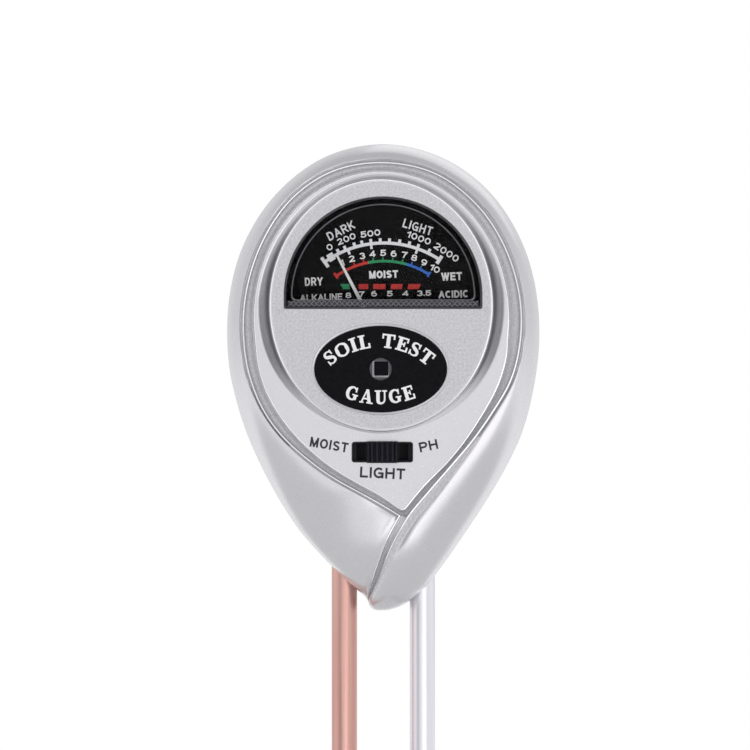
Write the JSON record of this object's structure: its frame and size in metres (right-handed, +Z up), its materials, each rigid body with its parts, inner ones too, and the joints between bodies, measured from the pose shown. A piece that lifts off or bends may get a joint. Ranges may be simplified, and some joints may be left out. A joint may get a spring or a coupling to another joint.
{
  "type": "soil moisture meter",
  "caption": "Egg-shaped silver head with a moving-pointer dial, an oval label with a light sensor and a slide switch, on one copper and one aluminium probe.",
  "frame": {"origin": "midway between the two probe axes, level with the lowest point of the head, on the plane where the two shells meet", "axes": "+Z up the head from the probes, +X to the reader's right, +Y from the dial towards the back"},
  "size_m": [0.0641, 0.0346, 0.2896],
  "materials": {
    "silver_paint": "satin metallic silver paint on moulded ABS",
    "steel": "zinc plated",
    "window_plastic": "clear polystyrene",
    "label_black": "semi-gloss black print",
    "grey_plastic": "matt",
    "cell_dark": "dark photocell",
    "dial_black": "matt black print on aluminium sheet",
    "black_plastic": "matt black",
    "magnet": "sintered magnet",
    "brass": "stamped",
    "soft_iron": "plated soft iron",
    "coil_copper": "enamelled copper wire",
    "pointer_white": "white enamel on aluminium",
    "bronze": "phosphor bronze",
    "board_green": "solder mask",
    "resistor_tan": "lacquered",
    "copper": "drawn copper, lightly tarnished",
    "aluminium": "drawn, pale and smooth",
    "wire_red": "PVC insulation",
    "wire_black": "PVC insulation",
    "wire_yellow": "PVC insulation",
    "wire_blue": "PVC insulation"
  },
  "bodies": {
    "housing": {"front_shell": "silver_paint", "back_shell": "silver_paint", "case_screws": "steel", "dial_window": "window_plastic", "sensor_label": "label_black", "cell_bezel": "grey_plastic", "light_cell": "cell_dark", "dial_plate": "dial_black", "dial_screws": "steel", "pointer_stops": "steel", "meter_frame": "black_plastic", "meter_screws": "steel", "core_magnet": "magnet", "core_spacers": "brass", "yoke_ring": "soft_iron", "front_bridge": "brass", "bridge_screws": "steel", "front_jewel": "brass", "rear_jewel": "brass", "front_hairspring": "bronze", "rear_hairspring": "bronze", "zero_arm": "brass", "switch_body": "black_plastic", "switch_terminals": "steel", "circuit_board": "board_green", "board_screws": "steel", "resistors": "resistor_tan", "copper_probe": "copper", "aluminium_probe": "aluminium", "probe_holder": "black_plastic", "probe_terminals": "steel", "probe_nuts": "brass", "copper_lead": "wire_red", "aluminium_lead": "wire_black", "meter_leads": "wire_yellow", "cell_leads": "wire_blue"},
    "pointer_assembly": {"moving_coil": "coil_copper", "front_pivot": "steel", "rear_pivot": "steel", "pointer": "pointer_white", "balance_weights": "brass"},
    "switch_slider": {"switch_knob": "black_plastic", "switch_wiper": "bronze"}
  },
  "joints": [
    {"name": "pointer_swing", "type": "hinge", "parent": "housing", "child": "pointer_assembly", "pos_m": [0, 0, 0.0546], "axis": [0, 1, 0], "range_deg": [-9, 63], "stiffness_Nm_per_rad": 0.00005},
    {"name": "switch_slide", "type": "slide", "parent": "housing", "child": "switch_slider", "axis": [1, 0, 0], "range_m": [-0.0028, 0.0028]}
  ]
}
